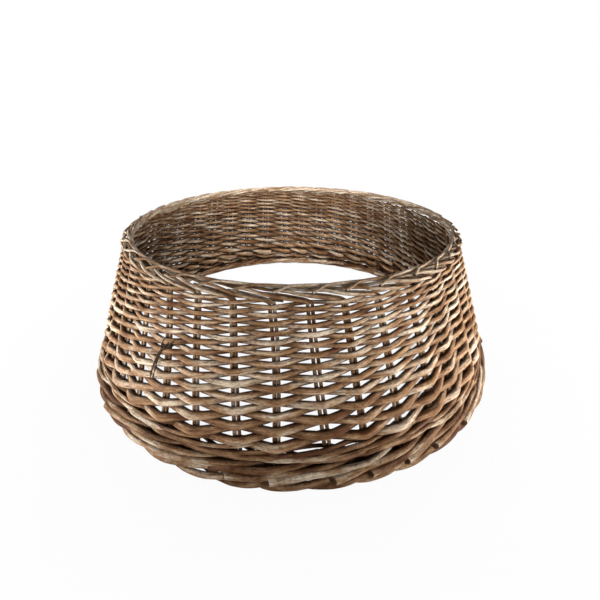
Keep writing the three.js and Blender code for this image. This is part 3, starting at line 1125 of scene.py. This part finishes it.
def lay_floor():
    """A white floor that keeps the collar's shadow."""
    bpy.ops.object.select_all(action="DESELECT")
    bpy.ops.mesh.primitive_plane_add(size=FLOOR_SIZE)
    floor = bpy.context.object
    floor.name = "floor"
    material = blank_material("White floor")
    tree = material.node_tree
    paper = tree.nodes["Principled BSDF"]
    paper.inputs["Base Color"].default_value = (FLOOR_GREY, FLOOR_GREY, FLOOR_GREY, 1.0)
    paper.inputs["Roughness"].default_value = FLOOR_ROUGHNESS
    glow = add_node(tree, "ShaderNodeEmission", Strength=1.0)
    seen = add_node(tree, "ShaderNodeLightPath")
    place = add_node(tree, "ShaderNodeTexCoord").outputs["Object"]
    whiteness = ranged(tree, from_axis(tree, place), *SHADOW_FADE)
    share_seen = combined(tree, "MULTIPLY", seen.outputs["Is Camera Ray"], whiteness)
    blend = add_node(tree, "ShaderNodeMixShader")
    tree.links.new(share_seen, blend.inputs["Fac"])
    tree.links.new(paper.outputs["BSDF"], blend.inputs[1])
    tree.links.new(glow.outputs["Emission"], blend.inputs[2])
    tree.links.new(blend.outputs["Shader"], tree.nodes["Material Output"].inputs["Surface"])
    floor.data.materials.append(material)


def light_world(scene):
    """A dim light that is stronger from the right, seen as white by the camera."""
    world = bpy.data.worlds.new("Studio")
    scene.world = world
    world.use_nodes = True
    tree = world.node_tree
    backdrop = tree.nodes["Background"]
    backdrop.inputs["Color"].default_value = (1.0, 1.0, 1.0, 1.0)
    seen = add_node(tree, "ShaderNodeLightPath")
    apart = add_node(tree, "ShaderNodeSeparateXYZ")
    tree.links.new(add_node(tree, "ShaderNodeTexCoord").outputs["Generated"], apart.inputs["Vector"])
    glow = ranged(tree, apart.outputs["X"], *ROOM_GLOW)
    strength = combined(tree, "MAXIMUM", glow, seen.outputs["Is Camera Ray"])
    tree.links.new(strength, backdrop.inputs["Strength"])


def soft_box(name, place, target, wide, tall, power, spread):
    """A flat lamp turned towards its target."""
    bpy.ops.object.select_all(action="DESELECT")
    bpy.ops.object.light_add(type="AREA", location=place)
    lamp = bpy.context.object
    lamp.name = name
    lamp.data.shape = "RECTANGLE"
    lamp.data.size = wide
    lamp.data.size_y = tall
    lamp.data.energy = power
    lamp.data.spread = math.radians(spread)
    aim = Vector(target) - Vector(place)
    lamp.rotation_euler = aim.to_track_quat("-Z", "Y").to_euler()
    lamp.visible_camera = False


def aim_camera(scene):
    """A camera in front and above, at the photograph's angle."""
    bpy.ops.object.select_all(action="DESELECT")
    bpy.ops.object.camera_add(location=CAMERA_PLACE)
    camera = bpy.context.object
    camera.name = "photo_camera"
    camera.rotation_euler = (math.radians(90.0 - CAMERA_PITCH), 0.0, 0.0)
    camera.data.sensor_width = CAMERA_SENSOR
    camera.data.lens = CAMERA_LENS
    camera.data.shift_x = CAMERA_SHIFT
    camera.data.clip_start = CAMERA_NEAR
    scene.camera = camera


class COLLAR_PT_weaving(bpy.types.Panel):
    """Sizes, colours and steps of the collar"""

    bl_label = "Willow Tree Collar"
    bl_space_type = "VIEW_3D"
    bl_region_type = "UI"
    bl_category = "Collar"

    def draw(self, context):
        layout = self.layout
        for group in (context.scene.collar_sizes, context.scene.collar_colours):
            for name in group.__annotations__:
                layout.prop(group, name)
        for operator in OPERATORS:
            layout.operator(operator.bl_idname)


OPERATORS = (
    COLLAR_OT_stage,
    COLLAR_OT_stakes,
    COLLAR_OT_rounds,
    COLLAR_OT_wale,
    COLLAR_OT_foot,
    COLLAR_OT_twine,
)
CLASSES = (CollarSizes, CollarColours, *OPERATORS, COLLAR_PT_weaving)


def register():
    """Registers the classes and gives the scene its sizes and colours."""
    for kind in CLASSES:
        bpy.utils.register_class(kind)
    bpy.types.Scene.collar_sizes = bpy.props.PointerProperty(type=CollarSizes)
    bpy.types.Scene.collar_colours = bpy.props.PointerProperty(type=CollarColours)


def unregister():
    """Takes back what register has set."""
    del bpy.types.Scene.collar_colours
    del bpy.types.Scene.collar_sizes
    for kind in reversed(CLASSES):
        bpy.utils.unregister_class(kind)


def main():
    """Makes the stage and every piece."""
    register()
    bpy.ops.collar.stage()
    bpy.ops.collar.stakes()
    bpy.ops.collar.rounds()
    bpy.ops.collar.wale()
    bpy.ops.collar.foot()
    bpy.ops.collar.twine()
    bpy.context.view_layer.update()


if __name__ == "__main__":
    main()
